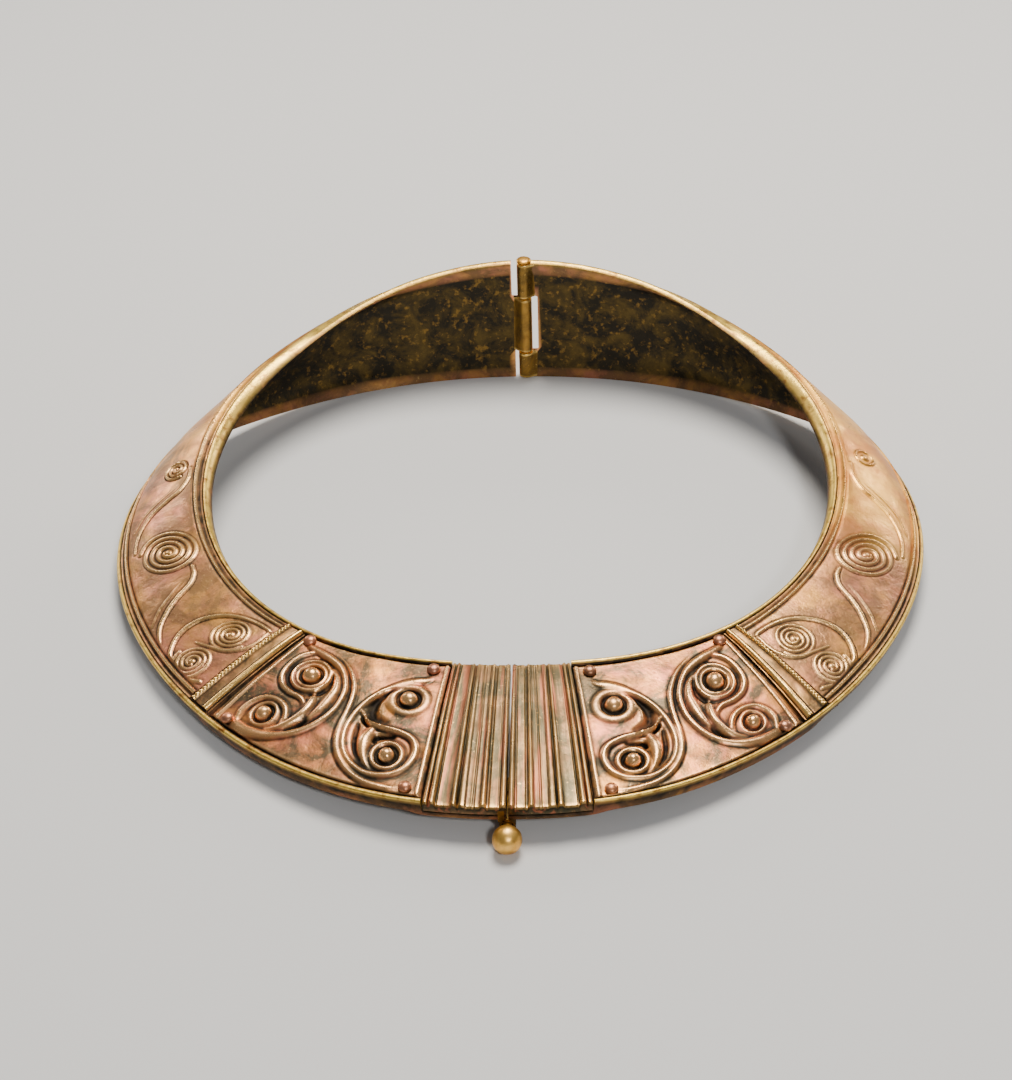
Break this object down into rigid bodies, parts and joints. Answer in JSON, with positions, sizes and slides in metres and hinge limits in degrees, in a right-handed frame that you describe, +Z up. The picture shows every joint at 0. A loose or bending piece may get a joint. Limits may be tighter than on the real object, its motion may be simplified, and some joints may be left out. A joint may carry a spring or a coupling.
{
  "type": "hinged neck collar",
  "caption": "Flat copper-alloy neck collar in two hinged halves, with raised scroll panels and a ball-headed clasp pin.",
  "frame": {"origin": "centre of the footprint, on the surface the collar lies on", "axes": "+Z up, clasp seam and ball towards -Y, hinge towards +Y, the wearer's left at the seam's +X side when seen from the front"},
  "size_m": [0.192, 0.1905, 0.0355],
  "materials": {
    "band_bronze": "worn copper alloy with brown patina and bright rims",
    "panel_bronze": "pinkish copper alloy, satin, dark in the hollows",
    "terminal_bronze": "brown and grey-green patina, brassy on the ridges",
    "bar_bronze": "brown patina, brassy on the beaded line",
    "rivet_bronze": "worn bright heads, dark round the foot",
    "pin_brass": "worn golden, brown below"
  },
  "bodies": {
    "right_half": {"right_band": "band_bronze", "right_front_panel": "panel_bronze", "right_terminal": "terminal_bronze", "right_cross_bar": "bar_bronze", "right_rivet_1": "rivet_bronze", "right_rivet_2": "rivet_bronze", "right_rivet_3": "rivet_bronze", "right_rivet_4": "rivet_bronze", "hinge_pin": "pin_brass"},
    "left_half": {"left_band": "band_bronze", "left_front_panel": "panel_bronze", "left_terminal": "terminal_bronze", "left_cross_bar": "bar_bronze", "left_rivet_1": "rivet_bronze", "left_rivet_2": "rivet_bronze", "left_rivet_3": "rivet_bronze", "left_rivet_4": "rivet_bronze", "clasp_pin": "pin_brass"}
  },
  "joints": [
    {"name": "hinge", "type": "hinge", "parent": "right_half", "child": "left_half", "pos_m": [0, 0.0933, 0.017], "axis": [0, 0, -1], "range_deg": [0, 100]}
  ]
}
